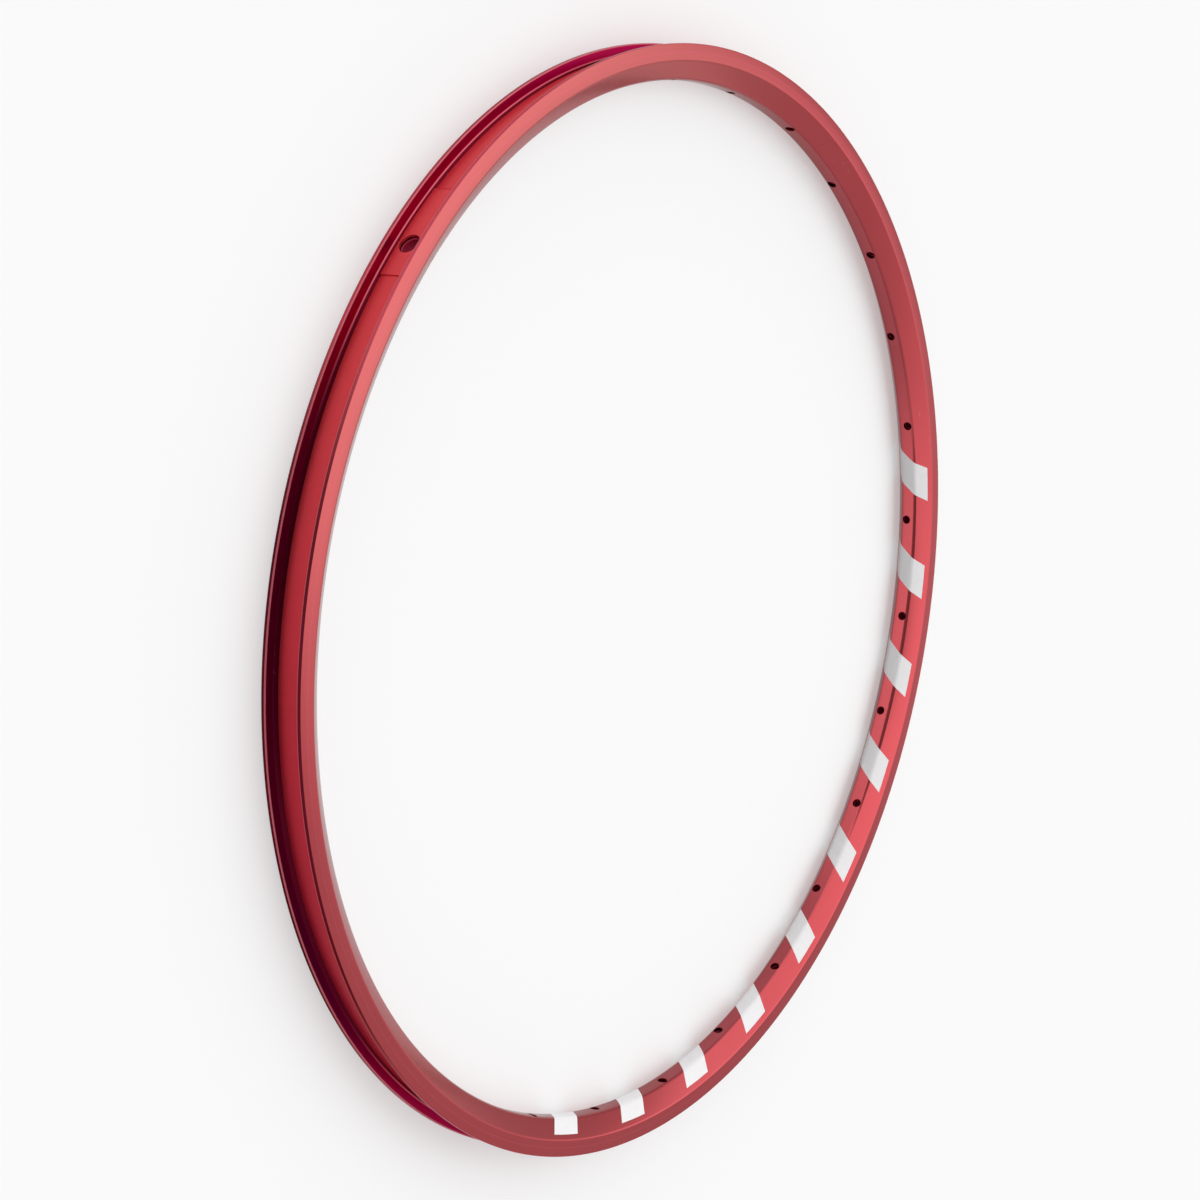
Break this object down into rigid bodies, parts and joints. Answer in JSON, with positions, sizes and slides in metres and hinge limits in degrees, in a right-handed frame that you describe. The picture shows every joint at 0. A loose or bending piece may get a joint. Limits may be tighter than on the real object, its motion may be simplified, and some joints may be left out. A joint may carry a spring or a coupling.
{
  "type": "bicycle rim",
  "caption": "Narrow hollow double-wall rim for a small bicycle wheel, with staggered spoke holes, a valve hole and a strip lining the tyre bed.",
  "frame": {"origin": "centre of the hoop, on the axle line and in the rim's middle plane", "axes": "+Z along the axle line, up as the rim lies; +X out through the valve hole; +Y completes the set"},
  "size_m": [0.4605, 0.4606, 0.018],
  "materials": {
    "anodised_red": "satin red anodising",
    "strip_red": "smooth, low sheen"
  },
  "bodies": {
    "root": {"rim": "anodised_red", "rim_strip": "strip_red"}
  },
  "joints": []
}
